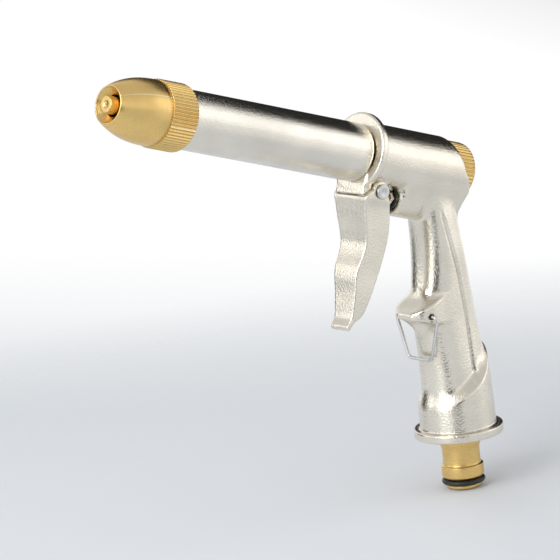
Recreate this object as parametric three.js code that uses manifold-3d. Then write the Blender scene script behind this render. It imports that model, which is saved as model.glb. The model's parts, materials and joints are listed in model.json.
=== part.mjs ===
// Hose spray nozzle: a pistol-grip die casting with a long tube, a twist head on the front,
// a lever trigger over a push valve, a flow regulator at the rear and a plug-in hose connector.
//
// Frame: millimetres, +Z up along the hose connector, +X the way the water leaves,
// mirror plane Y = 0, origin at the centre of the connector's lower end face.
// Everything on the spray tube is drawn in the tube's own frame: local X runs forward along
// the tube from the point where its axis crosses +Z, and local Z is square to it, upwards.

import * as THREE from 'three';
import { mergeVertices } from 'three/addons/utils/BufferGeometryUtils.js';
import Module from 'manifold-3d';

const wasm = await Module();
wasm.setup();

const { PI, cos, sin } = Math;
const degrees = PI / 180;

// ---- driving dimensions -------------------------------------------------------------------

const gap = 0.3;                  // clearance kept between neighbouring pieces
const tubeRise = 19.78 * degrees; // how far the spray tube points above level
const tubeHeight = 122.03;        // where the tube's axis crosses the connector's axis

const tubeRadius = 10.75;
const tubeBore = 9.2;
const tubeRear = 39.6;
const tubeFront = 128.2;

const casingRadius = 11.9;
const pocketFloor = -3.2;         // bottom of the pocket that the regulator knob turns in
const diskRadius = 14.17;
const diskFront = 39.0;
const diskThickness = 2.9;
const diskOffset = 0.8;

const valveDrop = 14.15;          // valve axis, below the tube's axis
const bossRadius = 5.9;
const bossFront = 19.5;
const valveBore = 4.0;
const reliefRadius = 4.9;         // room for the gland nut in front of the boss

const passageRadius = 4.0;        // the water's way up the grip
const passageX = 4.0;
const passageTop = 107;
const portRadius = 1.6;           // where the water crosses from the valve to the regulator
const portX = 12.4;
const throatRadius = 2.6;         // what the regulator's needle closes
const mixingRadius = 5.2;
const bushBore = 7.3;
const bushFront = 3.7;
const socketBore = 8.3;           // where the spray tube's rear end sits in the casing
const socketRear = 18;

const stemRadius = 1.5;
const capRadius = 2.9;
const capRear = 24.2;
const capFront = 25.8;
const plugRadius = 3.3;
const cageRear = 10.6;
const cageFront = 14.9;
const valveEnd = -2.0;            // blind end of the valve's bore, behind its spring

const headRear = 125.7;
const knurlFront = 137.0;
const headFront = 157.2;
const headRimRadius = 6.95;
const headRadius = 11.8;
const knurlRadius = 12.25;
const coreFront = 158.3;          // the jet core's face, just proud of the head's rim
const headTeeth = 60;
const toothDepth = 0.42;

const knobRadius = 11.0;
const knobFront = pocketFloor - gap;
const knobRear = -12.3;
const knobTeeth = 50;

const pivotX = 32.0;              // trigger pivot, in the tube's frame
const pivotZ = -12.7;
const pinRadius = 1.25;
const lugHalfWidth = 7.5;
const lugRear = 28.0;
const lugFront = 39.4;
const lugBottom = -14.9;
const earWall = 1.6;
const triggerTop = 9.2;           // half widths of the trigger's channel, at its ears and its tip
const triggerTip = 4.6;
const triggerEnd = -64.8;
const pusherRadius = 1.2;         // the cross bar that pushes the valve stem
const pusherX = pivotX - 4.7;
const pusherZ = pivotZ - 4.2;

const connectorBore = 4.5;
const connectorLength = 32.5;
const threadRadius = 6.6;
const flangeBottom = 20.4;
const flangeTop = 23.65;
const flangeRadius = 16.76;

const clipPivotX = 15.6;
const clipPivotZ = 69.6;
const clipWire = 0.625;
const clipDrop = 16.9;
const clipEndY = 7.0;
const clipHoleRadius = 1.15;

// ---- geometry helpers ---------------------------------------------------------------------

const weldDistance = 1e-4;

// Shares the corners of a closed surface, drops flat triangles and turns the faces outwards.
function welded(geometry) {
  const bare = new THREE.BufferGeometry();
  bare.setAttribute('position', geometry.getAttribute('position').clone());
  bare.setIndex(geometry.getIndex());
  const merged = mergeVertices(bare, weldDistance);
  const corners = merged.getIndex().array;
  const place = merged.getAttribute('position');
  const [a, b, c] = [new THREE.Vector3(), new THREE.Vector3(), new THREE.Vector3()];
  const triangles = [];
  let volume = 0;
  for (let i = 0; i < corners.length; i += 3) {
    const [p, q, r] = corners.slice(i, i + 3);
    if (p === q || q === r || r === p) continue;
    a.fromBufferAttribute(place, p);
    b.fromBufferAttribute(place, q);
    c.fromBufferAttribute(place, r);
    volume += a.dot(b.cross(c));
    triangles.push([p, q, r]);
  }
  const outward = volume > 0 ? triangles : triangles.map(([p, q, r]) => [p, r, q]);
  merged.setIndex(outward.flat());
  return merged;
}

function solid(geometry) {
  const closed = welded(geometry);
  const vertProperties = new Float32Array(closed.getAttribute('position').array);
  const triVerts = new Uint32Array(closed.getIndex().array);
  return new wasm.Manifold(new wasm.Mesh({ numProp: 3, vertProperties, triVerts }));
}

function surface(manifold) {
  const mesh = manifold.getMesh();
  const geometry = new THREE.BufferGeometry();
  geometry.setAttribute('position', new THREE.BufferAttribute(mesh.vertProperties, 3));
  geometry.setIndex(new THREE.BufferAttribute(mesh.triVerts, 1));
  return geometry;
}

const joined = (...pieces) => surface(pieces.map(solid).reduce((sum, next) => sum.add(next)));
const cut = (...pieces) => surface(pieces.map(solid).reduce((sum, next) => sum.subtract(next)));
const shared = (...pieces) => surface(pieces.map(solid).reduce((sum, next) => sum.intersect(next)));

// A turned piece. The profile is a closed list of [radius, place along the axis].
function turned(profile, axis = 'x', sides = 30) {
  const points = [...profile, profile[0]].map(([radius, along]) => new THREE.Vector2(radius, along));
  const geometry = new THREE.LatheGeometry(points, sides);
  return axis === 'x' ? geometry.rotateZ(-PI / 2) : geometry.rotateX(PI / 2);
}

const rod = (radius, from, to, axis, sides) =>
  turned([[0, from], [radius, from], [radius, to], [0, to]], axis, sides);

const sleeve = (inner, outer, from, to, axis, sides) =>
  turned([[inner, from], [outer, from], [outer, to], [inner, to]], axis, sides);

// Points of an arc in a profile, from one angle to another, both ends included.
function arc(centreX, centreY, radius, fromAngle, toAngle, steps) {
  return Array.from({ length: steps + 1 }, (_, i) => {
    const angle = fromAngle + (toAngle - fromAngle) * i / steps;
    return [centreX + radius * cos(angle), centreY + radius * sin(angle)];
  });
}

// A straight bar along X whose section is a shape drawn in Y and Z.
function barAlongX(shape, from, to, bevel = 0) {
  const settings = {
    depth: to - from - 2 * bevel,
    curveSegments: 10,
    bevelEnabled: bevel > 0,
    bevelSize: bevel,
    bevelThickness: bevel,
    bevelOffset: -bevel,
    bevelSegments: 1,
  };
  const turn = new THREE.Matrix4().makeBasis(
    new THREE.Vector3(0, 1, 0), new THREE.Vector3(0, 0, 1), new THREE.Vector3(1, 0, 0));
  return new THREE.ExtrudeGeometry(shape, settings).applyMatrix4(turn).translate(from + bevel, 0, 0);
}

// A plate centred on Y = 0 whose outline is a shape drawn in X and Z.
function plateAcrossY(shape, width) {
  const settings = { depth: width, curveSegments: 8, bevelEnabled: false };
  return new THREE.ExtrudeGeometry(shape, settings).rotateX(PI / 2).translate(0, width / 2, 0);
}

const outline = (points) => new THREE.Shape(points.map(([x, y]) => new THREE.Vector2(x, y)));

// A straight-knurled ring along X, with a chamfer at both ends.
function knurledRing(radius, teeth, from, to) {
  const points = Array.from({ length: 2 * teeth }, (_, i) => {
    const reach = i % 2 ? radius - toothDepth : radius;
    const angle = i * PI / teeth;
    return [reach * cos(angle), reach * sin(angle)];
  });
  return barAlongX(outline(points), from, to, 0.5);
}

function ring(centreRadius, wireRadius, axis = 'x') {
  const geometry = new THREE.TorusGeometry(centreRadius, wireRadius, 6, 20);
  return axis === 'x' ? geometry.rotateY(PI / 2) : geometry;
}

// A stacked form: a cylinder whose rings take each level's own rounded section.
// A level holds its height z, the section's front and rear in x, and its half width in y.
function stacked(levels, sides = 24, squareness = 2.6) {
  const geometry = new THREE.CylinderGeometry(1, 1, 1, sides, levels.length - 1);
  geometry.rotateX(PI / 2);
  const place = geometry.getAttribute('position');
  for (let i = 0; i < place.count; i++) {
    const level = levels[Math.round((place.getZ(i) + 0.5) * (levels.length - 1))];
    const middle = (level.front + level.rear) / 2;
    const halfLength = (level.front - level.rear) / 2;
    const round = (value) => Math.sign(value) * Math.abs(value) ** (2 / squareness);
    place.setXYZ(i, middle + halfLength * round(place.getX(i)),
      level.halfWidth * round(place.getY(i)), level.z);
  }
  return geometry;
}

// A tube of round section along a smooth path of [x, y, z] points.
function wire(points, radius, steps, tension = 0.3) {
  const path = new THREE.CatmullRomCurve3(points.map((p) => new THREE.Vector3(...p)), false,
    'catmullrom', tension);
  const section = new THREE.Shape().absarc(0, 0, radius, 0, 2 * PI);
  return new THREE.ExtrudeGeometry(section, { steps, curveSegments: 4, extrudePath: path });
}

// ---- the tube's frame ---------------------------------------------------------------------

const tubeFrame = new THREE.Group();
tubeFrame.position.z = tubeHeight;
tubeFrame.rotation.y = -tubeRise;
tubeFrame.updateMatrix();

const onTube = (geometry) => geometry.applyMatrix4(tubeFrame.matrix);
const onValve = (geometry) => geometry.translate(0, 0, -valveDrop);

// ---- the casting --------------------------------------------------------------------------

// The hull round the casing tube and the valve boss under it, as a section square to the tube.
function casingSection(topRadius) {
  const lean = Math.asin((topRadius - bossRadius) / valveDrop);
  return new THREE.Shape()
    .absarc(0, 0, topRadius, -lean, PI + lean)
    .absarc(0, -valveDrop, bossRadius, PI + lean, 2 * PI - lean);
}

function casingTube() {
  return turned([
    [0, -16],
    [casingRadius - 0.4, -16],
    [casingRadius, 20],
    [casingRadius, diskFront - diskThickness / 2],
    [0, diskFront - diskThickness / 2],
  ]);
}

function disk() {
  const edge = 0.5;
  const rear = diskFront - diskThickness;
  return turned([
    [0, rear],
    [diskRadius - edge, rear],
    [diskRadius, rear + edge],
    [diskRadius, diskFront - edge],
    [diskRadius - edge, diskFront],
    [0, diskFront],
  ]).translate(0, 0, diskOffset);
}

function lug() {
  const roundRear = 2.6;
  const shape = new THREE.Shape()
    .moveTo(lugFront, -4)
    .lineTo(lugRear, -4)
    .absarc(lugRear + roundRear, lugBottom + roundRear, roundRear, PI, 1.5 * PI)
    .lineTo(lugFront, lugBottom);
  return plateAcrossY(shape, 2 * lugHalfWidth);
}

function grip() {
  return stacked([
    { z: 30, front: 12.4, rear: -12.4, halfWidth: 10.4 },
    { z: 46, front: 12.6, rear: -12.4, halfWidth: 10.0 },
    { z: 54, front: 13.0, rear: -12.0, halfWidth: 9.5 },
    { z: 64, front: 13.8, rear: -10.9, halfWidth: 9.2 },
    { z: 76, front: 13.8, rear: -9.4, halfWidth: 9.2 },
    { z: 86, front: 11.9, rear: -8.0, halfWidth: 9.1 },
    { z: 96, front: 10.8, rear: -6.4, halfWidth: 9.0 },
    { z: 104, front: 10.8, rear: -5.3, halfWidth: 8.8 },
    { z: 112, front: 11.5, rear: -5.4, halfWidth: 8.0 },
  ]);
}

// What lies behind the casing's rear face: upright beside the knob, then sloping in to the grip.
function behindCasing() {
  const shape = outline([
    [-30, 140], [-3.6, 140], [-5.0, 131], [-5.6, 126], [-6.1, 120], [-7.4, 117],
    [-8.7, 114], [-8.5, 111.5], [-7.3, 108.4], [-5.2, 104], [-4.6, 80], [-30, 80],
  ]);
  return plateAcrossY(shape, 60);
}

// The finger stop: a spout that narrows forward from the grip's full width.
function fingerStop() {
  const spout = stacked([
    { z: 6, front: 79, rear: 61, halfWidth: 9.1 },
    { z: 14.5, front: 75.2, rear: 65.2, halfWidth: 8.9 },
    { z: 18.5, front: 72.7, rear: 67.4, halfWidth: 7.4 },
    { z: 21.7, front: 71.0, rear: 68.8, halfWidth: 3.9 },
  ], 20, 3.2);
  const layDown = new THREE.Matrix4().makeBasis(
    new THREE.Vector3(0, 0, 1), new THREE.Vector3(0, -1, 0), new THREE.Vector3(1, 0, 0));
  return spout.applyMatrix4(layDown);
}

// The cup at the foot, its top cut on a slope that is low in front.
function cup() {
  const coneTop = 50;
  const cone = turned([[0, flangeTop - 1], [14.45, flangeTop - 1], [13.4, coneTop], [0, coneTop]], 'z');
  const slope = outline([[-20, 62], [-20, 54], [-6, 47], [8, 35.6], [20, 32], [20, 62]]);
  return cut(cone, plateAcrossY(slope, 60));
}

function flange() {
  const edge = 0.4;
  return turned([
    [0, flangeBottom],
    [flangeRadius - edge, flangeBottom],
    [flangeRadius, flangeBottom + edge],
    [flangeRadius, flangeTop - edge],
    [flangeRadius - edge, flangeTop],
    [0, flangeTop],
  ], 'z');
}

function clipHole(side) {
  const depth = 8;
  const hole = rod(clipHoleRadius, 0, depth, 'z', 12).rotateX(-side * PI / 2);
  return hole.translate(clipPivotX, side * (clipEndY - gap), clipPivotZ);
}

// The water's way: up the grip, through the valve chamber, up to the regulator, and forward.
// Each bore runs a little way into the next, so that they open into each other.
function waterway() {
  const into = 1;
  const gasketSeat = 8.5;
  const reliefFront = 23.2;
  const mixingFront = 14.5;
  return [
    rod(threadRadius + gap, flangeBottom - into, connectorLength + 1.5, 'z', 24),
    rod(gasketSeat, flangeBottom - into, flangeBottom + 1, 'z', 24),
    rod(passageRadius, connectorLength - 2.5, passageTop, 'z', 24).translate(passageX, 0, 0),
    onTube(onValve(rod(valveBore, valveEnd, bossFront + into, 'x', 20))),
    onTube(onValve(rod(reliefRadius, bossFront, reliefFront, 'x', 20))),
    onTube(onValve(rod(capRadius + 0.5, reliefFront - 0.2, lugRear + 0.1, 'x', 24))),
    onTube(rod(portRadius, -valveDrop, 0, 'z', 16).translate(portX, 0, 0)),
    onTube(rod(knobRadius + gap, knobRear - 8, pocketFloor, 'x', 32)),
    onTube(rod(bushBore, pocketFloor - into, bushFront + gap, 'x', 32)),
    onTube(rod(mixingRadius, bushFront - into, mixingFront, 'x', 20)),
    onTube(rod(throatRadius, mixingFront - 0.5, socketRear + into, 'x', 20)),
    onTube(rod(socketBore, socketRear, diskFront + into, 'x', 32)),
  ];
}

function bodyCasting() {
  const casing = joined(
    onTube(casingTube()),
    onTube(barAlongX(casingSection(casingRadius - 0.5), -16, bossFront, 0.6)),
  );
  const mass = joined(
    cut(casing, behindCasing()),
    onTube(disk()),
    onTube(lug()),
    grip(),
    fingerStop(),
    cup(),
    flange(),
  );
  const pinHole = rod(pinRadius + gap, -20, 20, 'z', 16).rotateX(PI / 2);
  return cut(mass, ...waterway(), onTube(pinHole.translate(pivotX, 0, pivotZ)),
    clipHole(1), clipHole(-1));
}

// ---- the spray tube and twist head --------------------------------------------------------

const spigotRadius = socketBore - gap;
const spigotRear = 22;
const sealGroove = 6.4;
const sealMiddle = 25.8;

function barrelTube() {
  const corner = 1.6;
  const spigotBore = 5.2;
  return turned([
    [spigotBore, spigotRear],
    [spigotRadius, spigotRear],
    [spigotRadius, sealMiddle - 1.2],
    [sealGroove, sealMiddle - 1.2],
    [sealGroove, sealMiddle + 1.2],
    [spigotRadius, sealMiddle + 1.2],
    [spigotRadius, tubeRear],
    ...arc(tubeRadius - corner, tubeRear + corner, corner, -PI / 2, 0, 4),
    [tubeRadius, tubeFront],
    [tubeBore, tubeFront],
    [tubeBore, tubeRear + 6.4],
    [spigotBore, tubeRear + 4.4],
  ]);
}

const spigotNose = 147.5;
const landRadius = 7.3;
const coreNeck = 3.5;
const tipRadius = 3.2;
const headSealAt = 143;
const headBore = 9.2;

// Screws into the tube; the head runs on its thread, and the core is held in its web.
function headSpigot() {
  const thread = tubeBore - gap;
  const body = turned([
    [5.5, 112],
    [thread, 112],
    [thread, 139],
    [landRadius, 139],
    [landRadius, spigotNose],
    [coreNeck + gap, spigotNose],
    [coreNeck + gap, 141],
    [5.5, 139.4],
  ]);
  const ports = [0, 1, 2, 3].map((i) => {
    const angle = (i + 0.5) * PI / 2;
    return rod(1.3, 138, spigotNose + 1, 'x', 12).translate(0, 5.6 * cos(angle), 5.6 * sin(angle));
  });
  return cut(body, ...ports);
}

function jetCore() {
  return turned([
    [0, 136],
    [coreNeck, 136],
    [coreNeck, 148.4],
    [5.0, 148.6],
    [tipRadius, 152],
    [tipRadius, coreFront - 0.4],
    [tipRadius - 0.4, coreFront],
    [0, coreFront],
  ]);
}

// Outside of the head in front of the knurl: the arc that falls from the shoulder to the rim.
function headNose() {
  const from = knurlFront + 1.2;
  const steps = 10;
  const fall = 2.1;
  return Array.from({ length: steps + 1 }, (_, i) => {
    const share = i / steps;
    return [headRadius - (headRadius - headRimRadius) * share ** fall,
      from + (headFront - from) * share];
  });
}

function nozzleHead() {
  const neckRadius = 11.3;
  const overTube = tubeRadius + gap;
  const overTubeEnd = headRear + 3.8;
  const orifice = 3.7;
  const turnedBody = turned([
    [overTube, headRear + 0.2],
    [neckRadius, headRear + 0.2],
    [neckRadius, knurlFront + 1.2],
    ...headNose(),
    [headRimRadius - 0.5, headFront],
    [orifice, headFront - 2.7],
    [orifice, headFront - 4.2],
    [headBore - 1.3, headFront - 8.4],
    [headBore, headFront - 11.2],
    [headBore, overTubeEnd],
    [overTube, overTubeEnd],
  ], 'x', 36);
  const bore = rod(overTube, headRear - 1, overTubeEnd, 'x', 36);
  const thread = rod(headBore, headRear, knurlFront + 3, 'x', 36);
  return joined(turnedBody, cut(knurledRing(knurlRadius, headTeeth, headRear, knurlFront), bore, thread));
}

// ---- the valve ----------------------------------------------------------------------------

function valveStem() {
  return turned([
    [0, 4.7],
    [stemRadius, 4.7],
    [stemRadius, capRear],
    [capRadius, capRear],
    [capRadius, capFront - 0.6],
    [capRadius - 0.8, capFront],
    [0, capFront],
  ], 'x', 24);
}

function glandNut() {
  const hexRadius = 4.4;
  const corners = Array.from({ length: 6 }, (_, i) =>
    [hexRadius * cos(i * PI / 3), hexRadius * sin(i * PI / 3)]);
  const hex = barAlongX(outline(corners), 20.8, 22.4);
  const threaded = rod(valveBore - gap, 15.2, 21, 'x', 20);
  const stemHole = rod(stemRadius + gap, 14, 23, 'x', 20);
  const sealPocket = rod(3.0, 14, 17.4, 'x', 20);
  return cut(joined(hex, threaded), stemHole, sealPocket);
}

function valveCage() {
  const body = sleeve(2.9, valveBore - gap, cageRear, cageFront, 'x', 20);
  const window = rod(1.5, -6, 6, 'z', 16).translate(portX + 0.3, 0, 0);
  return cut(body, window);
}

function valvePlug() {
  return turned([
    [0, 2.2],
    [2.0, 2.2],
    [2.0, 3.3],
    [plugRadius, 3.3],
    [plugRadius, 6.0],
    [stemRadius + gap, 6.0],
    [stemRadius + gap, 4.4],
    [0, 4.4],
  ], 'x', 24);
}

const valveWasher = () => sleeve(stemRadius + gap, plugRadius, 6.3, 7.5, 'x', 24);

function valveSpring() {
  const turns = 3;
  const stepsPerTurn = 12;
  const coilRadius = 2.8;
  const from = 2.6;
  const to = valveEnd + 0.7;
  const points = Array.from({ length: turns * stepsPerTurn + 1 }, (_, i) => {
    const angle = i * 2 * PI / stepsPerTurn;
    const share = i / (turns * stepsPerTurn);
    return [from + (to - from) * share, coilRadius * cos(angle), coilRadius * sin(angle)];
  });
  const path = new THREE.CatmullRomCurve3(points.map((p) => new THREE.Vector3(...p)));
  const section = new THREE.Shape().absarc(0, 0, 0.35, 0, 2 * PI);
  return new THREE.ExtrudeGeometry(section,
    { steps: turns * stepsPerTurn, curveSegments: 3, extrudePath: path });
}

// ---- the trigger --------------------------------------------------------------------------

const triggerFront = [
  [38.7, -15.4], [38.0, -19], [36.5, -24], [34.6, -29], [33.7, -32.6], [34.1, -36.6],
  [35.2, -41.5], [35.1, -45.5], [34.2, -50], [33.5, -55], [33.1, -59.5], [34.6, -63.4],
];
const triggerRear = [
  [31.2, -61.4], [28.2, -58.3], [26.6, -54.1], [25.3, -47.5], [24.2, -40], [23.5, -32],
  [23.8, -25.9], [25.0, -20.5], [26.6, -16],
];

const triggerEar = [
  [27.3, -13.2], [28.4, -11.1], [30.6, -9.7], [33.4, -9.5], [36.2, -10.6], [38.2, -13.2],
];

// Side outline of the trigger, drawn in the tube's frame.
function triggerSide() {
  return outline([...triggerFront, [34.2, triggerEnd], ...triggerRear, ...triggerEar]);
}

// The hollow inside the trigger, open at the rear, behind a front wall of even thickness.
function triggerHollow() {
  const frontWall = 1.9;
  return outline([
    [42, -4],
    [42, -15.2],
    ...triggerFront.slice(0, -1).map(([x, z]) => [x - frontWall, z]),
    [31.0, -61.2],
    [24, -62],
    [18, -40],
    [18, -4],
  ]);
}

// A block that narrows from the ears to the tip, seen from the front.
function taperedBlock(topHalf, tipHalf) {
  const shape = outline([
    [-topHalf, -6], [-topHalf, -15], [-topHalf + 1.2, -21], [-tipHalf, triggerEnd - 1],
    [tipHalf, triggerEnd - 1], [topHalf - 1.2, -21], [topHalf, -15], [topHalf, -6],
  ]);
  return barAlongX(shape, 15, 45);
}

function trigger() {
  const shell = shared(plateAcrossY(triggerSide(), 24), taperedBlock(triggerTop, triggerTip));
  const hollow = shared(plateAcrossY(triggerHollow(), 24),
    taperedBlock(triggerTop - earWall, triggerTip - earWall));
  const pusherLength = 2 * triggerTop - 2.4;
  const pusher = rod(pusherRadius, -pusherLength / 2, pusherLength / 2, 'z', 16)
    .rotateX(PI / 2).translate(pusherX, 0, pusherZ);
  const pinHole = rod(pinRadius + gap, -15, 15, 'z', 16)
    .rotateX(PI / 2).translate(pivotX, 0, pivotZ);
  return cut(joined(cut(shell, hollow), pusher), pinHole);
}

function triggerPin() {
  const headRadiusY = 2.8;
  const headInner = triggerTop + gap;
  const profile = [
    [0, -headInner - 1.1],
    [1.5, -headInner - 1.1],
    [headRadiusY, -headInner - 0.5],
    [headRadiusY, -headInner],
    [pinRadius, -headInner],
    [pinRadius, headInner],
    [headRadiusY, headInner],
    [headRadiusY, headInner + 0.5],
    [1.5, headInner + 1.1],
    [0, headInner + 1.1],
  ];
  return turned(profile, 'z', 20).rotateX(PI / 2).translate(pivotX, 0, pivotZ);
}

// ---- the flow regulator -------------------------------------------------------------------

const spindleRadius = 3.5;

function regulatorKnob() {
  const spindle = turned([
    [0, knobRear + 1],
    [spindleRadius, knobRear + 1],
    [spindleRadius, 5.4],
    [2.7, 5.4],
    [2.7, 7.8],
    [spindleRadius, 7.8],
    [spindleRadius, 10.6],
    [1.2, 15.2],
    [0, 15.2],
  ], 'x', 24);
  return joined(knurledRing(knobRadius, knobTeeth, knobRear, knobFront), spindle);
}

function regulatorBush() {
  return sleeve(spindleRadius + gap, bushBore - gap, pocketFloor, bushFront, 'x', 32);
}

// ---- the hose connector and the lock clip -------------------------------------------------

function hoseConnector() {
  const neck = 7.05;
  const ridge = 7.95;
  const shoulder = 8.15;
  return turned([
    [connectorBore, 0],
    [6.1, 0],
    [6.66, 0.6],
    [6.66, 1.3],
    [5.95, 1.3],
    [5.95, 3.7],
    [7.2, 3.7],
    [ridge, 4.6],
    [ridge, 8.6],
    [neck + 0.1, 9.1],
    [neck, 10.4],
    [neck, 15.6],
    [shoulder, 17.6],
    [shoulder, flangeBottom - gap],
    [threadRadius, flangeBottom - gap],
    [threadRadius, connectorLength],
    [connectorBore, connectorLength],
  ], 'z', 30);
}

function lockClip() {
  const top = 10.8;
  const bottom = 6.1;
  const half = [
    [clipPivotX, clipEndY, clipPivotZ],
    [clipPivotX, top - 2, clipPivotZ],
    [clipPivotX - 0.1, top - 0.3, clipPivotZ - 0.5],
    [clipPivotX - 0.4, top, clipPivotZ - 2.2],
    [clipPivotX - 0.2, (top + bottom) / 2, clipPivotZ - clipDrop * 0.55],
    [clipPivotX, bottom + 0.3, clipPivotZ - clipDrop + 1.6],
    [clipPivotX, bottom - 1.2, clipPivotZ - clipDrop],
  ];
  const mirrored = half.map(([x, y, z]) => [x, -y, z]).reverse();
  return wire([...half, ...mirrored], clipWire, 44);
}

// ---- assembly -----------------------------------------------------------------------------

const finish = {
  nickel: { color: 0xb9b6ac, roughness: 0.36, metalness: 1.0 },
  tubeNickel: { color: 0xc2c0ba, roughness: 0.28, metalness: 1.0 },
  brass: { color: 0xc79a4b, roughness: 0.34, metalness: 1.0 },
  steel: { color: 0xb4b6ba, roughness: 0.3, metalness: 1.0 },
  rubber: { color: 0x161616, roughness: 0.6, metalness: 0.0 },
};

const nozzle = new THREE.Group();
nozzle.add(tubeFrame);

function piece(parent, name, geometry, look) {
  const mesh = new THREE.Mesh(welded(geometry), new THREE.MeshStandardMaterial(finish[look]));
  mesh.name = name;
  parent.add(mesh);
}

piece(nozzle, 'body_casting', bodyCasting(), 'nickel');
piece(nozzle, 'hose_connector', hoseConnector(), 'brass');
piece(nozzle, 'connector_o_ring', ring(7.22, 0.95, 'z').translate(0, 0, 2.5), 'rubber');
piece(nozzle, 'connector_gasket', sleeve(threadRadius + gap, 8.2, 20.45, 21.1, 'z'), 'rubber');
piece(nozzle, 'lock_clip', lockClip(), 'steel');

piece(tubeFrame, 'barrel_tube', barrelTube(), 'tubeNickel');
piece(tubeFrame, 'barrel_o_ring', ring(7.35, 0.62).translate(sealMiddle, 0, 0), 'rubber');
piece(tubeFrame, 'head_spigot', headSpigot(), 'brass');
piece(tubeFrame, 'jet_core', jetCore(), 'brass');
piece(tubeFrame, 'head_o_ring', ring(8.25, 0.6).translate(headSealAt, 0, 0), 'rubber');
piece(tubeFrame, 'nozzle_head', nozzleHead(), 'brass');

piece(tubeFrame, 'regulator_bush', regulatorBush(), 'brass');
piece(tubeFrame, 'regulator_o_ring', ring(4.05, 0.8).translate(6.6, 0, 0), 'rubber');
piece(tubeFrame, 'regulator_knob', regulatorKnob(), 'brass');

piece(tubeFrame, 'trigger', trigger(), 'nickel');
piece(tubeFrame, 'trigger_pin', triggerPin(), 'steel');

piece(tubeFrame, 'valve_stem', onValve(valveStem()), 'brass');
piece(tubeFrame, 'gland_nut', onValve(glandNut()), 'nickel');
piece(tubeFrame, 'gland_washer', onValve(sleeve(valveBore, 4.6, 19.8, 20.5, 'x', 20)), 'rubber');
piece(tubeFrame, 'stem_o_ring', onValve(ring(2.25, 0.42).translate(16.3, 0, 0)), 'rubber');
piece(tubeFrame, 'valve_cage', onValve(valveCage()), 'brass');
piece(tubeFrame, 'valve_seat', onValve(sleeve(2.3, valveBore - gap, 7.8, 10.3, 'x', 20)), 'brass');
piece(tubeFrame, 'valve_washer', onValve(valveWasher()), 'rubber');
piece(tubeFrame, 'valve_plug', onValve(valvePlug()), 'brass');
piece(tubeFrame, 'valve_spring', onValve(valveSpring()), 'steel');

export default nozzle;
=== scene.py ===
"""Looks for a metal hose spray nozzle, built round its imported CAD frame.

The casting and the trigger are made as distance fields, so that their walls run into each other in
soft fillets as a die casting's do, and turned pieces are made as lathes with rounded corners.
Shapes are drawn in millimetres in the row frame, or in the tube's frame: s runs forward along the
spray tube's axis from where it crosses the connector's axis, and h is square to it, upwards.
"""

import json
import math

import bpy
import numpy as np
import openvdb
from mathutils import Matrix, Vector


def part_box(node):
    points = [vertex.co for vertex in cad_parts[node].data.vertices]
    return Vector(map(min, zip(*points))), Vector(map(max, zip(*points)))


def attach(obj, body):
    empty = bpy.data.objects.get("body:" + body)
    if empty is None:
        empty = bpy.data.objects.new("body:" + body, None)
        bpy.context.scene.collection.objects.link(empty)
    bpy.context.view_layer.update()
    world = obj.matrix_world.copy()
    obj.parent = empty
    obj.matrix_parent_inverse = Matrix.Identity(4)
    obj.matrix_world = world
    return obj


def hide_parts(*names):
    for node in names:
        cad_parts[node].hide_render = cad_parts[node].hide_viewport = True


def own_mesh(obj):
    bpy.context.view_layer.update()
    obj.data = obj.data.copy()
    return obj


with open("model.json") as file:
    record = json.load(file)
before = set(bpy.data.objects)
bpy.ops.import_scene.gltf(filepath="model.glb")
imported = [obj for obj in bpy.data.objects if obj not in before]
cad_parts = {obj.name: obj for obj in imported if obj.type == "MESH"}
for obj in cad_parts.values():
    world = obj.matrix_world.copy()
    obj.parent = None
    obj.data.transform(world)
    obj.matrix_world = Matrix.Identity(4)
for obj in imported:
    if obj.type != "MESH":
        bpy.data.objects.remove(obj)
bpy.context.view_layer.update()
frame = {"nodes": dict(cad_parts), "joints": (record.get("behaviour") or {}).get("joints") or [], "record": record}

MM = 0.001

# ---- the frame's own measures ---------------------------------------------------------------

head_turn = next(j for j in frame["joints"] if j["name"] == "head_turn")
tube_axis = Vector(head_turn["axis"]).normalized()
tube_rise = math.atan2(tube_axis.z, tube_axis.x)
tube_height = (head_turn["pos_m"][2] - head_turn["pos_m"][0] * math.tan(tube_rise)) / MM


def tube_frame():
    """Matrix from the tube's frame, in mm, to the row frame, in mm."""
    return Matrix.Translation((0, 0, tube_height)) @ Matrix.Rotation(-tube_rise, 4, "Y")


def to_tube(x, z):
    """Places s along the tube and h above its axis, of a point in the row frame."""
    up = z - tube_height
    return (x * math.cos(tube_rise) + up * math.sin(tube_rise),
            up * math.cos(tube_rise) - x * math.sin(tube_rise))


def reach(node):
    """Rearmost and foremost place along the tube, and largest radius about it, of a CAD node, in mm."""
    inverse = tube_frame().inverted()
    points = np.array([inverse @ (v.co / MM) for v in frame["nodes"][node].data.vertices])
    return points[:, 0].min(), points[:, 0].max(), np.hypot(points[:, 1], points[:, 2]).max()


# ---- curves ---------------------------------------------------------------------------------


def curve_between(before, here, after, beyond, t):
    """A smooth curve from here to after, as t goes from 0 to 1."""
    return 0.5 * (2 * here + (after - before) * t
                  + (2 * before - 5 * here + 4 * after - beyond) * t ** 2
                  + (3 * here - before - 3 * after + beyond) * t ** 3)


def smooth_loop(points, steps=8):
    """Points along a smooth closed curve through the given ones."""
    p = np.array(points, float)[:, None]
    t = (np.arange(steps) / steps)[None, :, None]
    curve = curve_between(np.roll(p, 1, 0), p, np.roll(p, -1, 0), np.roll(p, -2, 0), t)
    return curve.reshape(-1, 2)


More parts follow.
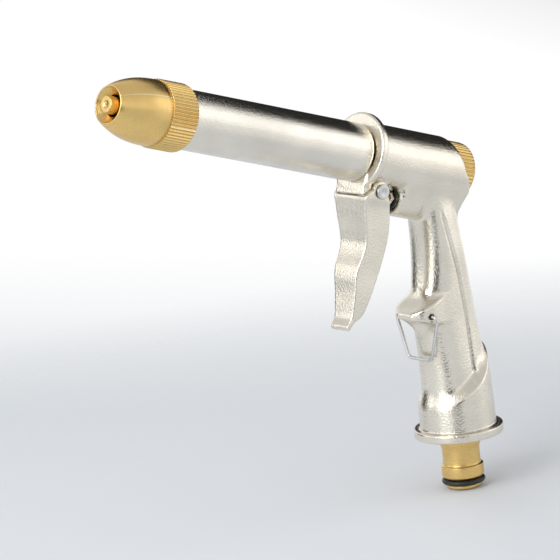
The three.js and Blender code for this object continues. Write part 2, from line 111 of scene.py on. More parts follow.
def smooth_table(place, table, steps=24):
    """Columns of a table whose first column is the place, read off smooth curves through its rows."""
    rows = np.array(table, float)
    last = len(rows) - 1
    fine = np.linspace(0, last, steps * len(rows))
    i = np.clip(fine.astype(int), 0, last - 1)
    t = (fine - i)[:, None]
    curve = curve_between(rows[np.maximum(i - 1, 0)], rows[i], rows[i + 1], rows[np.minimum(i + 2, last)], t)
    return [np.interp(place, curve[:, 0], curve[:, c]) for c in range(1, rows.shape[1])]


def rounded_corner(before, here, after, size, count):
    """Points of the arc that stands for a corner between two others; with a size of 0 it stays sharp."""
    before, here, after = (np.array(point, float) for point in (before, here, after))
    if size <= 0:
        return [here]
    back, on = before - here, after - here
    back_length, on_length = np.linalg.norm(back), np.linalg.norm(on)
    share = 0.49   # an arc takes less than half of each side, so that two arcs never meet
    size = min(size, share * back_length, share * on_length)
    start, stop = here + back / back_length * size, here + on / on_length * size
    return [(1 - t) ** 2 * start + 2 * t * (1 - t) * here + t * t * stop for t in np.linspace(0, 1, count)]


def rounded_profile(corners, count=5):
    """A closed profile of (radius, along, rounding) corners, with each corner turned into an arc."""
    places = [(radius, along) for radius, along, _ in corners]
    following = places[1:] + places[:1]
    points = []
    for i, (_, _, rounding) in enumerate(corners):
        points += rounded_corner(places[i - 1], places[i], following[i], rounding, count)
    return np.array(points)


def rounded_path(corners, bend, count=8):
    """Points along straight runs joined by bends of about that size."""
    path = [np.array(corners[0], float)]
    for before, here, after in zip(corners, corners[1:], corners[2:]):
        path += rounded_corner(before, here, after, bend, count)
    return np.array(path + [np.array(corners[-1], float)])


# ---- distance fields ------------------------------------------------------------------------


def rise(value, start, span):
    """0 up to the start, 1 from a span beyond it, and even between them."""
    return np.clip((value - start) / span, 0, 1)


def join(first, second, blend):
    """Two fields as one body, with a fillet about as wide as blend between them."""
    share = np.clip(0.5 + 0.5 * (second - first) / blend, 0, 1)
    return second + (first - second) * share - blend * share * (1 - share)


def carve(body, tool, blend):
    """The body without the tool, with the edge between them rounded."""
    return -join(-body, tool, blend)


def overlap(first, second, edge):
    """What two fields share, with its outer edge rounded."""
    a, b = first + edge, second + edge
    return np.minimum(np.maximum(a, b), 0) + np.hypot(np.maximum(a, 0), np.maximum(b, 0)) - edge


def barrel(across, along, radius, start, stop, edge=0.1):
    """A round bar; across is the distance from its axis."""
    return overlap(across - radius, np.maximum(start - along, along - stop), edge)


def outline_distance(u, v, points):
    """Signed distance to a closed outline, below zero inside."""
    far = 1e9
    nearest = np.full(np.broadcast(u, v).shape, far)
    inside = np.zeros(nearest.shape, bool)
    for (au, av), (bu, bv) in zip(points, np.roll(points, -1, 0)):
        eu, ev, wu, wv = bu - au, bv - av, u - au, v - av
        t = np.clip((wu * eu + wv * ev) / (eu * eu + ev * ev), 0, 1)
        nearest = np.minimum(nearest, (wu - eu * t) ** 2 + (wv - ev * t) ** 2)
        crosses = (v >= av) != (v >= bv)
        if ev:
            inside ^= crosses & (u < au + wv * eu / ev)
    return np.where(inside, -1, 1) * np.sqrt(nearest)


def rounded_section(u, v, front, rear, half_width, power):
    """Distance to a rounded section between front and rear in u and half_width in v."""
    a, b = u - (front + rear) / 2, v
    half_length = (front - rear) / 2
    size = (np.abs(a / half_length) ** power + np.abs(b / half_width) ** power) ** (1 / power)
    least = 1e-3
    return np.hypot(a, b) * (1 - 1 / np.maximum(size, least))


def hull_of_two(y, h, top_radius, low_radius, drop):
    """Distance to the hull of a circle at the axis and a smaller one below it."""
    across = np.abs(y)
    lean = (top_radius - low_radius) / drop
    slope = math.sqrt(1 - lean * lean)
    along = -across * lean - h * slope
    flank = across * slope - h * lean - top_radius
    top, low = np.hypot(across, h) - top_radius, np.hypot(across, h + drop) - low_radius
    return np.where(along < 0, top, np.where(along > drop * slope, low, flank))


def mesh_of(field, low, high, voxel):
    """Quads of the surface where a field is zero, each corner pulled onto that surface."""
    low, high = np.array(low, float), np.array(high, float)
    x, y, z = [low[i] + voxel * np.arange(int((high[i] - low[i]) / voxel) + 2) for i in range(3)]
    values = field(x[:, None, None], y[None, :, None], z[None, None, :])
    band = 3 * voxel
    grid = openvdb.FloatGrid(band)
    grid.copyFromArray(np.clip(values, -band, band).astype(np.float32))
    points, quads = grid.convertToQuads(isovalue=0.0)
    points = low + voxel * points.astype(float)
    passes, step, least_slope = 2, 0.02, 0.2
    for _ in range(passes):
        here = field(*points.T)
        slope = np.stack([field(*(points + step * axis).T) - here for axis in np.eye(3)], 1) / step
        move = here / np.maximum((slope ** 2).sum(1), least_slope)
        points -= np.clip(move, -voxel / 2, voxel / 2)[:, None] * slope
    return points, quads


# ---- mesh pieces ----------------------------------------------------------------------------


def add_piece(name, points, faces, body, node, material, along=None):
    """A smooth mesh object that rides on a body in place of a CAD node.

    The points are in mm in the row frame; along is each point's place on the piece's own axis.
    """
    mesh = bpy.data.meshes.new(name)
    mesh.from_pydata((np.asarray(points) * MM).tolist(), [], [list(map(int, f)) for f in faces])
    mesh.update()
    mesh.shade_smooth()
    if along is not None:
        marks = mesh.attributes.new("along", "FLOAT", "POINT")
        marks.data.foreach_set("value", np.asarray(along, np.float32))
    piece = bpy.data.objects.new(name, mesh)
    bpy.context.scene.collection.objects.link(piece)
    mesh.materials.append(material)
    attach(piece, body)
    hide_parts(node)
    return piece


def lathe(profile, sides, wave=None):
    """Points (along, y, z) and faces of a turned body. wave(radius, along, angle) may shift a radius."""
    count = len(profile)
    angle = np.arange(sides) * 2 * math.pi / sides
    radius = np.repeat(profile[:, 0][None], sides, 0)
    along = np.repeat(profile[:, 1][None], sides, 0)
    if wave:
        radius = wave(radius, along, angle[:, None])
    points = np.stack([along, radius * np.cos(angle)[:, None], radius * np.sin(angle)[:, None]], -1)
    faces = []
    for i in range(sides):
        j = (i + 1) % sides
        for k in range(count):
            m = (k + 1) % count
            faces.append((i * count + k, i * count + m, j * count + m, j * count + k))
    return points.reshape(-1, 3), faces, along.ravel()


def swept(path, radius, sides=20):
    """Points, faces and place along of a wire of round section with flat ends."""
    tangent = np.gradient(path, axis=0)
    tangent /= np.linalg.norm(tangent, axis=1)[:, None]
    side = np.cross(tangent[0], (0, 0, 1.0))
    rings, angle = [], np.arange(sides) * 2 * math.pi / sides
    travel = np.concatenate([[0], np.cumsum(np.linalg.norm(np.diff(path, axis=0), axis=1))])
    for place, forward in zip(path, tangent):
        side = side - forward * side.dot(forward)
        side /= np.linalg.norm(side)
        up = np.cross(forward, side)
        rings.append(place + radius * (np.cos(angle)[:, None] * side + np.sin(angle)[:, None] * up))
    points = np.concatenate(rings)
    faces = []
    for start in range(0, len(points) - sides, sides):
        for i in range(sides):
            j = (i + 1) % sides
            faces.append((start + i, start + j, start + sides + j, start + sides + i))
    faces += [tuple(reversed(range(sides))), tuple(range(len(points) - sides, len(points)))]
    return points, faces, np.repeat(travel, sides)


def on_matrix(points, matrix):
    """Points moved by a matrix."""
    m = np.array(matrix)
    return points @ m[:3, :3].T + m[:3, 3]


upright = Matrix.Rotation(-math.pi / 2, 4, "Y")   # along becomes +Z
on_tube = tube_frame()


def turned_piece(name, corners, body, node, material, matrix, sides, wave=None):
    """A lathe piece whose profile is given by (radius, along, rounding) corners."""
    points, faces, along = lathe(rounded_profile(corners), sides, wave)
    return add_piece(name, on_matrix(points, matrix), faces, body, node, material, along)


def knurl(radius, teeth, depth, start, stop):
    """A wave that cuts straight teeth into a turned ring of that radius."""
    slope, land = 1.5, 0.3   # how steep a tooth's sides are, and how wide its flat top is

    def cut(r, along, angle):
        phase = (angle * teeth / (2 * math.pi)) % 1
        flank = np.clip(slope * np.abs(2 * phase - 1) - land, 0, 1)
        toothed = np.minimum(r, radius - depth * flank)
        return np.where((along > start) & (along < stop), toothed, r)

    return cut


# ---- the casting ----------------------------------------------------------------------------

casing_radius, boss_radius, boss_front = 11.9, 5.9, 19.5
valve_drop = 14.15   # how far the valve's axis lies below the tube's
disk_radius, disk_front, disk_thickness, disk_lift = 14.17, 39.0, 2.9, 0.8
lug_half_width = 7.5
pin_s, pin_h = 32.0, -12.7
pin_hole = 1.55
clip_x, clip_z = 15.6, 69.6
clip_hole, clip_hole_floor = 1.15, 6.7
flange_radius, flange_low, flange_top = 16.76, 20.4, 23.65
column_low, column_top = 22, 113
cup_radius, cup_base, cup_taper = 14.45, 22.65, 0.038

BEHIND_CASING = [  # x and z of what is cut away behind the casing and the top of the grip
    (-30, 140), (-3.6, 140), (-5.0, 131), (-5.6, 126), (-6.1, 120), (-7.4, 117), (-8.1, 114),
    (-8.0, 111.5), (-7.0, 108.4), (-5.2, 104), (-4.6, 80), (-30, 80)]
LUG = [  # s and h of the trigger's lug, from the side
    (39.4, -4), (28, -4), (28, -12.6), (28.7, -14.3), (30.4, -14.9), (39.4, -14.9)]
GRIP = [  # height, front, rear, half width
    (26, 12.4, -12.4, 10.6), (38, 12.4, -12.4, 10.2), (46, 12.6, -12.4, 10.0), (54, 13.0, -12.0, 9.5),
    (64, 13.8, -10.9, 9.2), (76, 13.4, -9.4, 9.1), (86, 11.7, -8.0, 9.1), (96, 10.8, -6.4, 9.0),
    (104, 10.8, -5.3, 8.8), (114, 11.5, -5.4, 8.0)]
FINGER_STOP = [  # x and z of its outline from the side
    (4, 82), (12.2, 80.0), (13.7, 77.4), (15.6, 75.1), (18.5, 73.0), (21.2, 71.6), (21.8, 70.3),
    (21.2, 69.0), (18.4, 68.2), (16.0, 66.8), (14.4, 64.2), (13.0, 59.5), (4, 57)]
STOP_EDGES = [  # x, then the half width and the heights of the upper and lower edge of its flat side
    (0, 8.4, 78.5, 64.5), (5, 8.7, 77.3, 65.3), (9.7, 8.7, 75.6, 66.0), (14.5, 8.8, 73.8, 67.0),
    (18.5, 7.4, 72.4, 68.0), (21.7, 3.9, 71.0, 69.0), (24, 1.0, 70.4, 69.4)]
CUP_RIM = [  # x, height of the rim's outer edge, and how steeply the rim rises inwards from it
    (-16, 57, 1.4), (-14, 54.5, 1.4), (-12, 51.5, 1.3), (-9.5, 48.3, 1.2), (-6.4, 45.0, 1.1),
    (-1.4, 41.2, 1.0), (5.4, 37.2, 1.3), (9.1, 35.1, 2.2), (12.4, 33.3, 3.6), (16, 32.6, 4.0)]
SIDE_RIB = [  # height and x
    (106, 4.8), (94, 2.4), (85, 0.6), (75, -0.7), (66, -1.6), (52, -1.9), (39, -1.6)]

TUBE_BORES = [  # radius, start and end along the tube's axis
    (11.25, -40, -3.2),   # the knob's pocket, open behind
    (7.3, -4, 4),         # the regulator's bush
    (5.2, 2.7, 14.5),     # the chamber round the regulator's needle
    (2.6, 14, 19),        # the throat that the needle closes
    (8.3, 18, 50)]        # the spray tube's socket
VALVE_BORES = [  # radius, start and end along the valve's axis
    (4.0, -2, 20.5),            # the valve
    (4.5, boss_front, 23.2),    # room for the gland nut
    (3.4, 23, 28.1)]            # room for the stem's cap
FOOT_BORES = [  # radius, lowest and highest place
    (6.9, 10, 34),      # the connector's thread
    (8.5, 10, 21.4)]    # the gasket's seat
passage_x, passage_radius, passage_low, passage_top = 4, 4.0, 30, 107   # the water's way up the grip
port_s, port_radius = 12.4, 1.6   # where the water goes from the valve up to the regulator


def casing(x, y, z):
    """The tube with the valve boss under it, cut off behind, with the disk and the trigger's lug."""
    s, h = to_tube(x, z)
    hull_inset, hull_setback, boss_step, boss_rear = 0.5, 1.3, 0.2, 8
    hull = hull_of_two(y, h, casing_radius - hull_inset, boss_radius, valve_drop)
    hull = overlap(hull, s - boss_front + hull_setback, 1.0)
    tube_setback = 1
    tube = overlap(np.hypot(y, h) - casing_radius, s - disk_front + tube_setback, 0.1)
    boss = barrel(np.hypot(y, h + valve_drop), s, boss_radius + boss_step, boss_rear, boss_front, 0.5)
    lowness = rise(-h, 4, 3)
    body = join(join(hull, tube, 0.2 + 2.2 * lowness), boss, 1.0)
    body = carve(body, outline_distance(x, z, np.array(BEHIND_CASING)), 1.0)
    disk = barrel(np.hypot(y, h - disk_lift), s, disk_radius, disk_front - disk_thickness, disk_front, 0.75)
    lug = overlap(outline_distance(s, h, LUG), np.abs(y) - lug_half_width, 0.6)
    return join(join(body, disk, 1.0), lug, 1.2)


def grip(x, y, z):
    """The column of the grip, without its ends."""
    front, rear, half_width = smooth_table(z, GRIP)
    squareness = 2.5
    return rounded_section(x, y, front, rear, half_width, squareness)


def finger_stop(x, y, z):
    """A spout with flat sides; its top and underside lean in from the edges of the sides."""
    half_width, upper, lower = smooth_table(x, STOP_EDGES)
    flank = np.abs(y) - half_width
    top_lean, under_lean = 0.5, 0.6
    roof = np.maximum(z - upper + top_lean * flank, lower - z + under_lean * flank)
    roof = roof / np.hypot(1, (top_lean + under_lean) / 2)
    return overlap(overlap(outline_distance(x, z, smooth_loop(FINGER_STOP)), flank, 0.4), roof, 0.5)


def cup(x, y, z):
    """The cup at the foot; its rim slopes down to the front, and leans in to the grip above its edge."""
    rim, fall = smooth_table(x, CUP_RIM)
    across = np.hypot(x, y)
    wall = cup_radius - (z - cup_base) * cup_taper
    lean = (fall * (across - wall) + (z - rim)) / np.hypot(1, fall)
    return overlap(overlap(across - wall, lean, 0.3), column_low - z, 0.1)


def side_rib(x, y, z):
    """How far the thin rib on each flank stands up, less the groove in front of it."""
    line, = smooth_table(-z, [(-height, place) for height, place in SIDE_RIB])
    off = x - line
    rib_height, rib_width, groove_depth, groove_width, spread = 0.42, 0.42, 0.5, 0.45, 0.55
    rib = rib_height * np.exp(-((off + spread) / rib_width) ** 2)
    groove = groove_depth * np.exp(-((off - spread) / groove_width) ** 2)
    fade = rise(z, 44, 2) * rise(-z, -108, 4) * rise(np.abs(y), 5, 2)
    return fade * (rib - groove)


def bores(x, y, z):
    """Everything bored out of the casting: the water's way, the knob's pocket and the holes."""
    s, h = to_tube(x, z)
    tools = [barrel(np.hypot(y, h), s, *bore) for bore in TUBE_BORES]
    tools += [barrel(np.hypot(y, h + valve_drop), s, *bore) for bore in VALVE_BORES]
    tools += [barrel(np.hypot(x, y), z, *bore) for bore in FOOT_BORES]
    tools.append(barrel(np.hypot(x - passage_x, y), z, passage_radius, passage_low, passage_top))
    tools.append(barrel(np.hypot(s - port_s, y), -h, port_radius, 0, valve_drop))
    tools.append(np.hypot(s - pin_s, h - pin_h) - pin_hole)
    tools.append(np.maximum(np.hypot(x - clip_x, z - clip_z) - clip_hole, clip_hole_floor - np.abs(y)))
    result = tools[0]
    for tool in tools[1:]:
        result = np.minimum(result, tool)
    return result


def casting(x, y, z):
    """The whole casting; its fillets widen inwards on the finger stop and rearwards on the cup."""
    column = overlap(grip(x, y, z), np.maximum(column_low - z, z - column_top), 1.0)
    flange = barrel(np.hypot(x, y), z, flange_radius, flange_low, flange_top, 0.55)
    inward = rise(-np.abs(y), -9, 3)
    rearward = rise(-x, 0, 6)
    body = join(join(casing(x, y, z), column, 1.6), finger_stop(x, y, z), 0.6 + 2.2 * inward)
    body = join(join(body, cup(x, y, z), 0.8 + 2.0 * rearward), flange, 0.7)
    return carve(body - side_rib(x, y, z), bores(x, y, z), 0.35)


# ---- the trigger, in the tube's frame -------------------------------------------------------

TRIGGER_FRONT = [  # s and h, down the front of its outline from the side
    (38.7, -15.4), (38.0, -19), (36.5, -24), (34.6, -29), (33.7, -32.6), (34.1, -36.6),
    (35.2, -41.5), (35.1, -45.5), (34.2, -50), (33.5, -55), (33.1, -59.5), (34.3, -63.2)]
TRIGGER_REAR = [  # and back up the rear
    (32.9, -64.4), (31.2, -61.4), (28.2, -58.3), (26.6, -54.1), (25.3, -47.5), (24.2, -40),
    (23.5, -32), (23.8, -25.9), (25.0, -20.5), (27.0, -15.5), (30, -13.2), (36.2, -13.0)]
TRIGGER_WIDTH = [  # drop below the tube's axis, half width
    (0, 9.2), (8, 9.2), (15, 9.2), (21, 8.1), (43, 6.35), (65, 4.6), (70, 4.2)]
# The hollow's outline from the side runs on past the blade at the top and at the open rear.
TRIGGER_HOLLOW_TOP = [(42, 0), (42, -15.0)]
TRIGGER_HOLLOW_REAR = [(31.0, -61.6), (24, -62), (16, -40), (16, 0)]


def trigger(s, y, h):
    """A channel with two ears on the pin; the front wall is even, and the rear is open."""
    front_wall, side_wall = 1.9, 1.6
    ear_radius, ear_hole = 3.8, 1.5
    bar_back, bar_drop, bar_radius, bar_half_length = 4.7, 4.2, 1.2, 8
    at_pin = np.hypot(s - pin_s, h - pin_h)
    blade = outline_distance(s, h, smooth_loop(TRIGGER_FRONT + TRIGGER_REAR, 6))
    half_width, = smooth_table(-h, TRIGGER_WIDTH)
    shell = overlap(join(blade, at_pin - ear_radius, 1.2), np.abs(y) - half_width, 0.7)
    inner = [(front - front_wall, height) for front, height in TRIGGER_FRONT[:-1]]
    hollow = outline_distance(s, h, TRIGGER_HOLLOW_TOP + inner + TRIGGER_HOLLOW_REAR)
    hollow = overlap(hollow, np.abs(y) - (half_width - side_wall), 0.5)
    at_bar = np.hypot(s - pin_s + bar_back, h - pin_h + bar_drop)
    bar = np.maximum(at_bar - bar_radius, np.abs(y) - bar_half_length)
    return carve(join(carve(shell, hollow, 0.6), bar, 0.4), at_pin - ear_hole, 0.3)


# ---- materials ------------------------------------------------------------------------------

NICKEL, TUBE_NICKEL, NICKEL_EDGE = (0.79, 0.74, 0.64), (0.79, 0.75, 0.67), (0.88, 0.85, 0.77)
BRASS, BRASS_EDGE = (0.84, 0.58, 0.22), (0.98, 0.84, 0.52)
STEEL, STEEL_EDGE = (0.66, 0.66, 0.65), (0.86, 0.86, 0.86)


def add(tree, kind, inputs=None, **settings):
    """A shader node; an input is a value or another node's output."""
    node = tree.nodes.new(kind)
    for key, value in settings.items():
        setattr(node, key, value)
    for key, value in (inputs or {}).items():
        if isinstance(value, bpy.types.NodeSocket):
            tree.links.new(value, node.inputs[key])
        else:
            node.inputs[key].default_value = value
    return node


def ramp(tree, source, stops):
    """A colour ramp; stops are (place, colour or grey)."""
    node = add(tree, "ShaderNodeValToRGB", {"Fac": source})
    elements = node.color_ramp.elements
    while len(elements) < len(stops):
        elements.new(0.5)
    for element, (place, colour) in zip(elements, stops):
        element.position = place
        element.color = (*colour, 1) if isinstance(colour, tuple) else (colour, colour, colour, 1)
    return node.outputs["Color"]


def noise(tree, scale, detail):
    """Noise with about that many lumps to a metre."""
    place = add(tree, "ShaderNodeTexCoord").outputs["Object"]
    return add(tree, "ShaderNodeTexNoise", {"Vector": place, "Scale": scale, "Detail": detail}).outputs["Fac"]


def bumps(tree, height, distance, strength=1.0, under=None):
    """A normal that follows a height, over another normal if one is given; distance is in metres."""
    inputs = {"Height": height, "Distance": distance, "Strength": strength}
    if under:
        inputs["Normal"] = under
    return add(tree, "ShaderNodeBump", inputs).outputs["Normal"]


def mix(tree, share, first, second, **settings):
    """A colour between two others, or blended as the settings say."""
    inputs = {"Factor": share, "A": first, "B": second}
    return add(tree, "ShaderNodeMix", inputs, data_type="RGBA", **settings).outputs["Result"]


def start_material(name, **sockets):
    """A material, its tree and its shader, with the given constant sockets."""
    material = bpy.data.materials.new(name)
    material.use_nodes = True
    shader = material.node_tree.nodes["Principled BSDF"]
    for key, value in sockets.items():
        shader.inputs[key].default_value = value
    return material, material.node_tree, shader


def worn_and_shaded(tree, colour, edge_colour, hollow_shade):
    """The colour, turned towards the edge colour along sharp edges for wear, and darkened in the hollows as
    painted shade.
    """
    sharpness = add(tree, "ShaderNodeNewGeometry").outputs["Pointiness"]
    edge = ramp(tree, sharpness, [(0.53, 0.0), (0.62, 0.6)])
    rubbed = mix(tree, edge, colour, (*edge_colour, 1))
    # painted shade: the colour is darkened where the surface is hollow, standing in for the shade that falls in
    # grooves and fillets
    hollow = ramp(tree, sharpness, [(0.40, hollow_shade), (0.485, 1.0)])
    return mix(tree, 1.0, rubbed, hollow, blend_type="MULTIPLY")


def nickel(name, base, grain, depth):
    """Satin nickel plate over a grained surface; grain is in lumps to a metre, depth in metres."""
    material, tree, shader = start_material(name, Metallic=1.0)
    broad = noise(tree, 60, 3)
    fine = noise(tree, grain, 1)
    darker = tuple(c * 0.93 for c in base)
    lighter = tuple(min(1, c * 1.1) for c in base)
    tint = ramp(tree, broad, [(0.3, darker), (0.7, lighter)])
    # base colour with edge wear and painted shade in the hollows
    tree.links.new(worn_and_shaded(tree, tint, NICKEL_EDGE, 0.6), shader.inputs["Base Color"])
    tree.links.new(ramp(tree, fine, [(0.3, 0.12), (0.7, 0.2)]), shader.inputs["Roughness"])
    pits = noise(tree, grain * 2.3, 2)
    relief = bumps(tree, pits, depth * 0.3, under=bumps(tree, fine, depth))
    tree.links.new(relief, shader.inputs["Normal"])
    return material


def turned_metal(name, base, edge, rough=(0.2, 0.34), mark_depth=0.000004):
    """Turned metal with rings of tool marks along the piece's own axis."""
    material, tree, shader = start_material(name, Metallic=1.0)
    along = add(tree, "ShaderNodeAttribute", attribute_name="along").outputs["Fac"]
    marks_to_a_mm = 2.6
    rings = add(tree, "ShaderNodeTexNoise",
                {"W": along, "Scale": marks_to_a_mm, "Detail": 5.0, "Roughness": 0.75},
                noise_dimensions="1D").outputs["Fac"]
    darker = tuple(c * 0.86 for c in base)
    tint = ramp(tree, noise(tree, 120, 4), [(0.3, darker), (0.7, base)])
    # base colour with edge wear and painted shade in the hollows
    tree.links.new(worn_and_shaded(tree, tint, edge, 0.4), shader.inputs["Base Color"])
    tree.links.new(ramp(tree, rings, [(0.3, rough[0]), (0.7, rough[1])]), shader.inputs["Roughness"])
    scratches = noise(tree, 2600, 2)
    relief = bumps(tree, scratches, 0.000006, 0.7, under=bumps(tree, rings, mark_depth))
    tree.links.new(relief, shader.inputs["Normal"])
    return material


def rubber(name):
    """Black rubber with a dull, faintly uneven skin."""
    material, tree, shader = start_material(name)
    tint = ramp(tree, noise(tree, 300, 3), [(0.3, 0.008), (0.7, 0.016)])
    tree.links.new(tint, shader.inputs["Base Color"])
    tree.links.new(ramp(tree, noise(tree, 900, 3), [(0.3, 0.38), (0.7, 0.52)]), shader.inputs["Roughness"])
    tree.links.new(bumps(tree, noise(tree, 3000, 2), 0.00002, 0.5), shader.inputs["Normal"])
    return material


cast_nickel = nickel("cast_nickel", NICKEL, 1500, 0.00011)
tube_nickel = nickel("tube_nickel", TUBE_NICKEL, 1700, 0.00009)
brass = turned_metal("turned_brass", BRASS, BRASS_EDGE)
steel = turned_metal("drawn_steel", STEEL, STEEL_EDGE, (0.22, 0.32), 0.0000005)
black_rubber = rubber("black_rubber")
FINISHES = {"cast_nickel": cast_nickel, "tube_nickel": tube_nickel, "brass": brass, "steel": steel,
            "black_rubber": black_rubber}


# ---- the pieces -----------------------------------------------------------------------------


def make_casting():
    """The die-cast body, from its distance field."""
    low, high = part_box("body_casting")
    margin = 1.5
    voxel = 0.42
    points, faces = mesh_of(casting, np.array(low) / MM - margin, np.array(high) / MM + margin, voxel)
    add_piece("casting", points, faces, "body", "body_casting", cast_nickel)


def make_trigger():
    """The cast lever, from its distance field; low and high bound it in the tube's frame."""
    low, high = (21, -11, -68), (43, 11, -6)
    voxel = 0.32
    points, faces = mesh_of(trigger, low, high, voxel)
    points = on_matrix(points, on_tube)
    add_piece("trigger_lever", points, faces, "trigger", "trigger", cast_nickel)


def make_tube():
    """The plated spray tube, with a narrower spigot in the casting and a smaller bore through it."""
    rear, front, _ = reach("barrel_tube")
    outer, bore, spigot, inlet = 10.75, 9.2, 8.0, 5.2
    shoulder = 39.6
    inlet_front, bore_rear = shoulder + 4.4, shoulder + 6.4
    corners = [(inlet, rear, 0.3), (spigot, rear, 0.3), (spigot, shoulder, 0), (outer, shoulder, 1.7),
               (outer, front, 0.3), (bore, front, 0.3), (bore, bore_rear, 0), (inlet, inlet_front, 0)]
    turned_piece("spray_tube", corners, "body", "barrel_tube", tube_nickel, on_tube, 128)


def make_head():
    """The twist head: a knurled ring, a nose that curves in to a thin rim, and a dish in its front."""
    rear, front, radius = reach("nozzle_head")
    teeth, tooth_depth = 60, 0.5
    over_tube, bore, mouth = 11.05, 9.2, 3.9
    shoulder, rim, fall, nose_steps = 11.8, 6.95, 2.4, 14
    groove = shoulder - 0.25
    knurl_front, bore_rear = rear + 11.3, rear + 3.8
    nose_rear = knurl_front + 1.0
    ring = [(over_tube, rear, 0.1), (radius, rear, 0.55), (radius, knurl_front, 0.45),
            (groove, knurl_front + 0.05, 0.05), (groove, knurl_front + 0.5, 0.1)]
    nose = [(shoulder - (shoulder - rim) * t ** fall, nose_rear + (front - nose_rear) * t, 0)
            for t in np.linspace(0, 1, nose_steps)[:-1]]
    dish = [(rim, front - 0.05, 0.15), (rim - 0.45, front, 0.15), (rim - 0.75, front - 0.5, 0.2),
            (mouth, front - 2.7, 0.3), (mouth, front - 4.2, 0.2)]
    inside = [(bore - 1.3, front - 8.4, 0), (bore, front - 11.2, 0), (bore, bore_rear, 0),
              (over_tube, bore_rear, 0)]
    teeth_cut = knurl(radius, teeth, tooth_depth, rear - 1, knurl_front + 0.02)
    turned_piece("twist_head", ring + nose + dish + inside, "nozzle_head", "nozzle_head", brass,
                 on_tube, 480, teeth_cut)


def make_core():
    """The jet core, whose round tip stands in the head's mouth with a small centre mark."""
    rear, front, _ = reach("jet_core")
    neck, collar, tip, mark = 3.5, 5.0, 3.2, 1.4
    corners = [(0, rear, 0), (neck, rear, 0.3), (neck, front - 9.9, 0), (collar, front - 9.7, 0.2),
               (tip, front - 6.3, 0.3), (tip, front, 0.45), (mark, front - 0.02, 0.3),
               (mark - 0.5, front - 0.3, 0.2), (0, front - 0.35, 0)]
    turned_piece("core_tip", corners, "body", "jet_core", brass, on_tube, 64)


def make_knob():
    """The regulator's knurled knob, with its spindle, seal groove and needle."""
    rear, front, radius = reach("regulator_knob")
    teeth, tooth_depth = 50, 0.42
    face = -3.5
    recess, recess_depth, spindle, groove, needle = 5.2, 0.5, 3.5, 2.7, 1.2
    groove_rear, groove_front, needle_rear = 5.4, 7.8, 10.6
    corners = [(0, rear + recess_depth, 0), (recess, rear + recess_depth, 0.3), (recess + 0.4, rear, 0.3),
               (radius, rear, 2.0), (radius, face, 0.4), (spindle, face, 0), (spindle, groove_rear, 0),
               (groove, groove_rear, 0), (groove, groove_front, 0), (spindle, groove_front, 0),
               (spindle, needle_rear, 0), (needle, front, 0), (0, front, 0)]
    turned_piece("flow_knob", corners, "regulator_knob", "regulator_knob", brass, on_tube, 400,
                 knurl(radius, teeth, tooth_depth, rear - 1, face + 0.1))


def make_connector():
    """The plug, from its tip up: seal groove, locking ridge, neck, shoulder and the thread above."""
    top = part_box("hose_connector")[1].z / MM
    bore, tip, groove, lip, ridge, neck, shoulder, thread = 4.5, 6.66, 5.95, 7.2, 7.95, 7.05, 8.15, 6.6
    groove_low, groove_top, collar = 1.3, 3.7, 20.1
    corners = [(bore, 0, 0.35), (tip, 0, 0.6), (tip, groove_low, 0.15), (groove, groove_low, 0.1),
               (groove, groove_top, 0.1), (lip, groove_top, 0.15), (ridge, 4.6, 0.45), (ridge, 8.6, 0.15),
               (neck + 0.1, 9.0, 0.3), (neck, 10.4, 0.9), (neck, 15.2, 1.2), (shoulder, 17.9, 1.0),
               (shoulder, collar, 0.2), (thread, collar, 0), (thread, top, 0.3), (bore, top, 0.3)]
    turned_piece("hose_plug", corners, "body", "hose_connector", brass, upright, 128)


def make_o_ring():
    """The plug's rubber ring, as a round bead turned about the plug's axis."""
    middle, bead, height, count = 7.22, 0.95, 2.5, 20
    corners = [(middle + bead * math.cos(a), height + bead * math.sin(a), 0)
               for a in np.arange(count) * 2 * math.pi / count]
    turned_piece("plug_o_ring", corners, "body", "connector_o_ring", black_rubber, upright,
                 128)


def make_pin():
    """The trigger's cross pin, with a dished rivet head at each end."""
    head_start, pin, head, dish = 9.5, 1.25, 2.8, 0.7
    half = [(0, 0.6, 0), (dish, 0.65, 0.2), (1.3, 1.05, 0.3), (2.5, 1.05, 0.2), (head, 0.75, 0.15),
            (head, 0, 0.1), (pin, 0, 0)]
    corners = [(r, -head_start - out, size) for r, out, size in half]
    corners += [(r, head_start + out, size) for r, out, size in reversed(half)]
    across = on_tube @ Matrix.Translation((pin_s, 0, pin_h)) @ Matrix.Rotation(math.pi / 2, 4, "Z")
    turned_piece("pivot_pin", corners, "body", "trigger_pin", steel, across, 48)


def make_clip():
    """The lock clip: a wire loop, from one hole in the finger stop round to the other."""
    end, top, low, drop, bend, wire = 7.0, 10.8, 6.1, 16.9, 1.7, 0.625
    half = [(clip_x, end, clip_z), (clip_x, top - 0.6, clip_z), (clip_x - 0.4, top, clip_z - 2.0),
            (clip_x, low, clip_z - drop)]
    corners = half + [(x, -y, z) for x, y, z in reversed(half)]
    points, faces, along = swept(rounded_path(corners, bend), wire)
    add_piece("clip_wire", points, faces, "lock_clip", "lock_clip", steel, along)


def make_spring():
    """The valve's return spring, a coil of wire round the valve's axis."""
    turns, steps, coil, wire = 3, 24, 2.8, 0.35
    rear, front = -1.3, 2.6
    share = np.linspace(0, 1, turns * steps + 1)
    angle = share * turns * 2 * math.pi
    place = rear + (front - rear) * share
    path = np.stack([place, coil * np.cos(angle), coil * np.sin(angle) - valve_drop], -1)
    points, faces, along = swept(path, wire, 12)
    points = on_matrix(points, on_tube)
    spring = add_piece("return_spring", points, faces, "body", "valve_spring", steel, along)
    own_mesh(spring)


def finish_cad_nodes():
    """Gives every CAD node the finish of its slot."""
    for part in frame["record"]["subparts"]:
        node = frame["nodes"][part["node"]]
        node.data.materials.clear()
        node.data.materials.append(FINISHES[part["material_slot"]])


